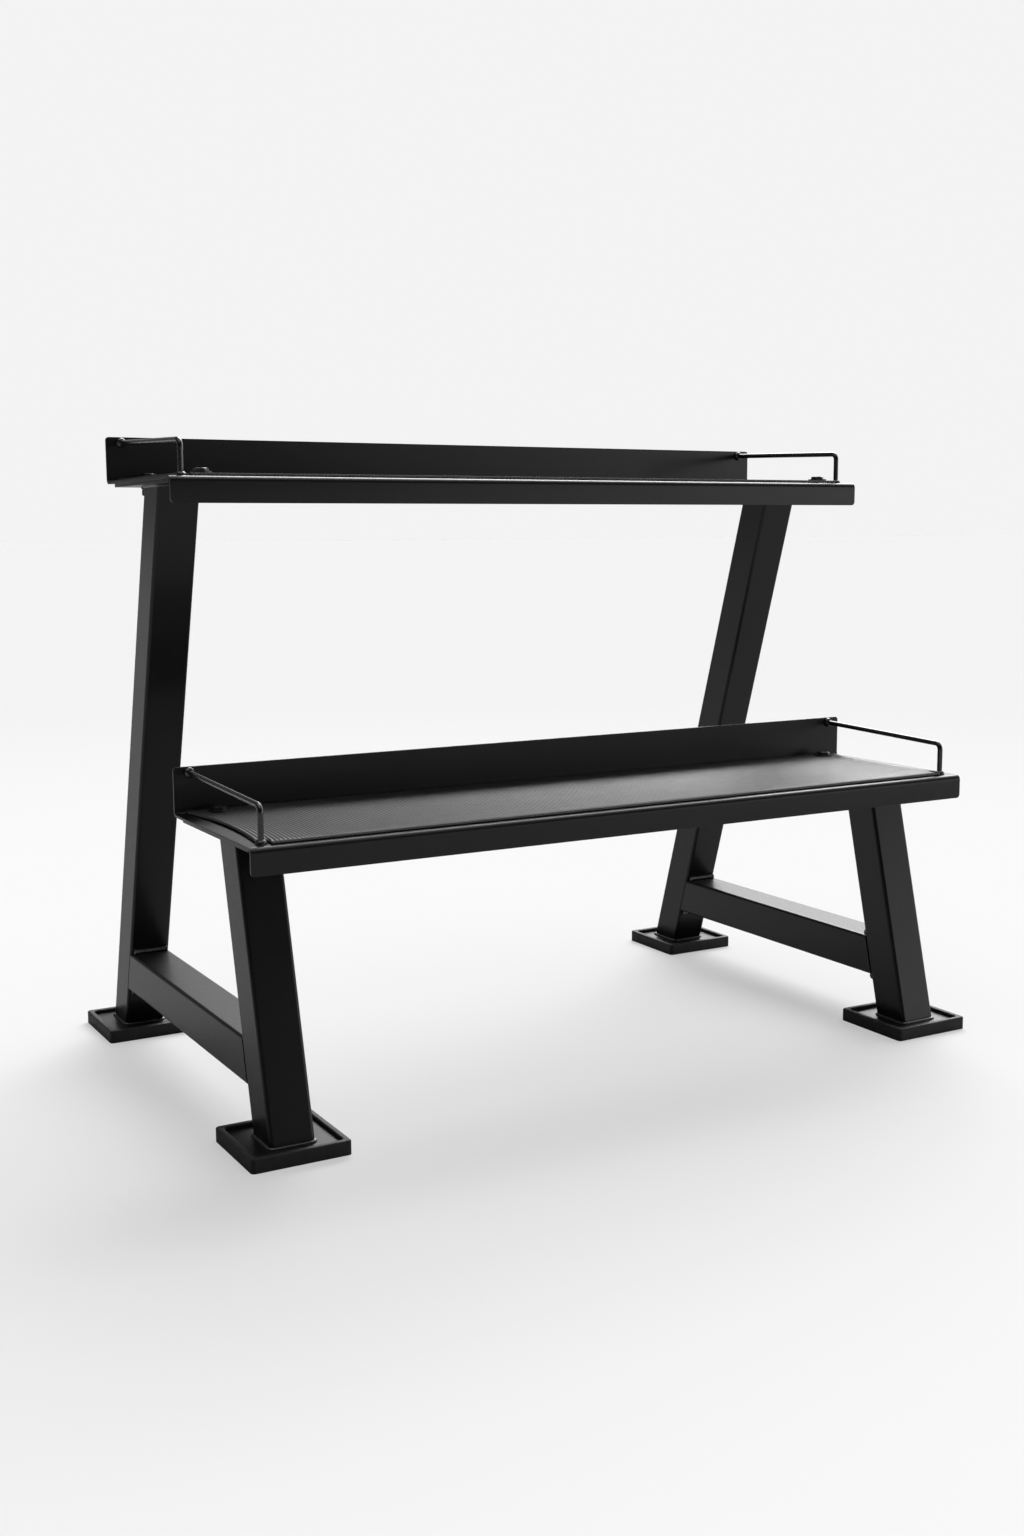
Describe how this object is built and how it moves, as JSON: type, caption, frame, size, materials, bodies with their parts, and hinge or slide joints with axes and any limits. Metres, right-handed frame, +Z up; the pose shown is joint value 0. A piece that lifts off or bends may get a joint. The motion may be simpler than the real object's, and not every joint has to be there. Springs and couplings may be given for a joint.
{
  "type": "dumbbell rack",
  "caption": "Two-tier steel dumbbell rack: leaning square-tube legs, flat bent-sheet trays with rubber mats and rod end rails, and square rubber feet.",
  "frame": {"origin": "on the floor, at the centre of the four feet", "axes": "+X along the trays to the right, +Y to the back, +Z up; the low tray is at the front, towards -Y"},
  "size_m": [1.23, 0.7726, 0.9525],
  "materials": {
    "frame_paint": "satin black powder coat",
    "tray_paint": "satin black powder coat",
    "fastener_steel": "black oxide",
    "foot_rubber": "matte",
    "mat_rubber": "fine ribbed, matte"
  },
  "bodies": {
    "root": {"base_plate_welds": "frame_paint", "crossbar_welds": "frame_paint", "left_crossbar": "frame_paint", "left_front_base_plate": "frame_paint", "left_front_leg": "frame_paint", "left_front_rubber_foot": "foot_rubber", "left_lower_mounting_plate": "frame_paint", "left_lower_rail": "tray_paint", "left_rear_base_plate": "frame_paint", "left_rear_leg": "frame_paint", "left_rear_rubber_foot": "foot_rubber", "left_upper_mounting_plate": "frame_paint", "left_upper_rail": "tray_paint", "lower_mat": "mat_rubber", "lower_tray": "tray_paint", "lower_tray_flush_bolts": "fastener_steel", "lower_tray_head_washers": "fastener_steel", "lower_tray_hex_bolts": "fastener_steel", "lower_tray_nut_washers": "fastener_steel", "lower_tray_nuts": "fastener_steel", "mounting_plate_welds": "frame_paint", "rail_welds": "tray_paint", "right_crossbar": "frame_paint", "right_front_base_plate": "frame_paint", "right_front_leg": "frame_paint", "right_front_rubber_foot": "foot_rubber", "right_lower_mounting_plate": "frame_paint", "right_lower_rail": "tray_paint", "right_rear_base_plate": "frame_paint", "right_rear_leg": "frame_paint", "right_rear_rubber_foot": "foot_rubber", "right_upper_mounting_plate": "frame_paint", "right_upper_rail": "tray_paint", "upper_mat": "mat_rubber", "upper_tray": "tray_paint", "upper_tray_head_washers": "fastener_steel", "upper_tray_hex_bolts": "fastener_steel", "upper_tray_nut_washers": "fastener_steel", "upper_tray_nuts": "fastener_steel"}
  },
  "joints": []
}
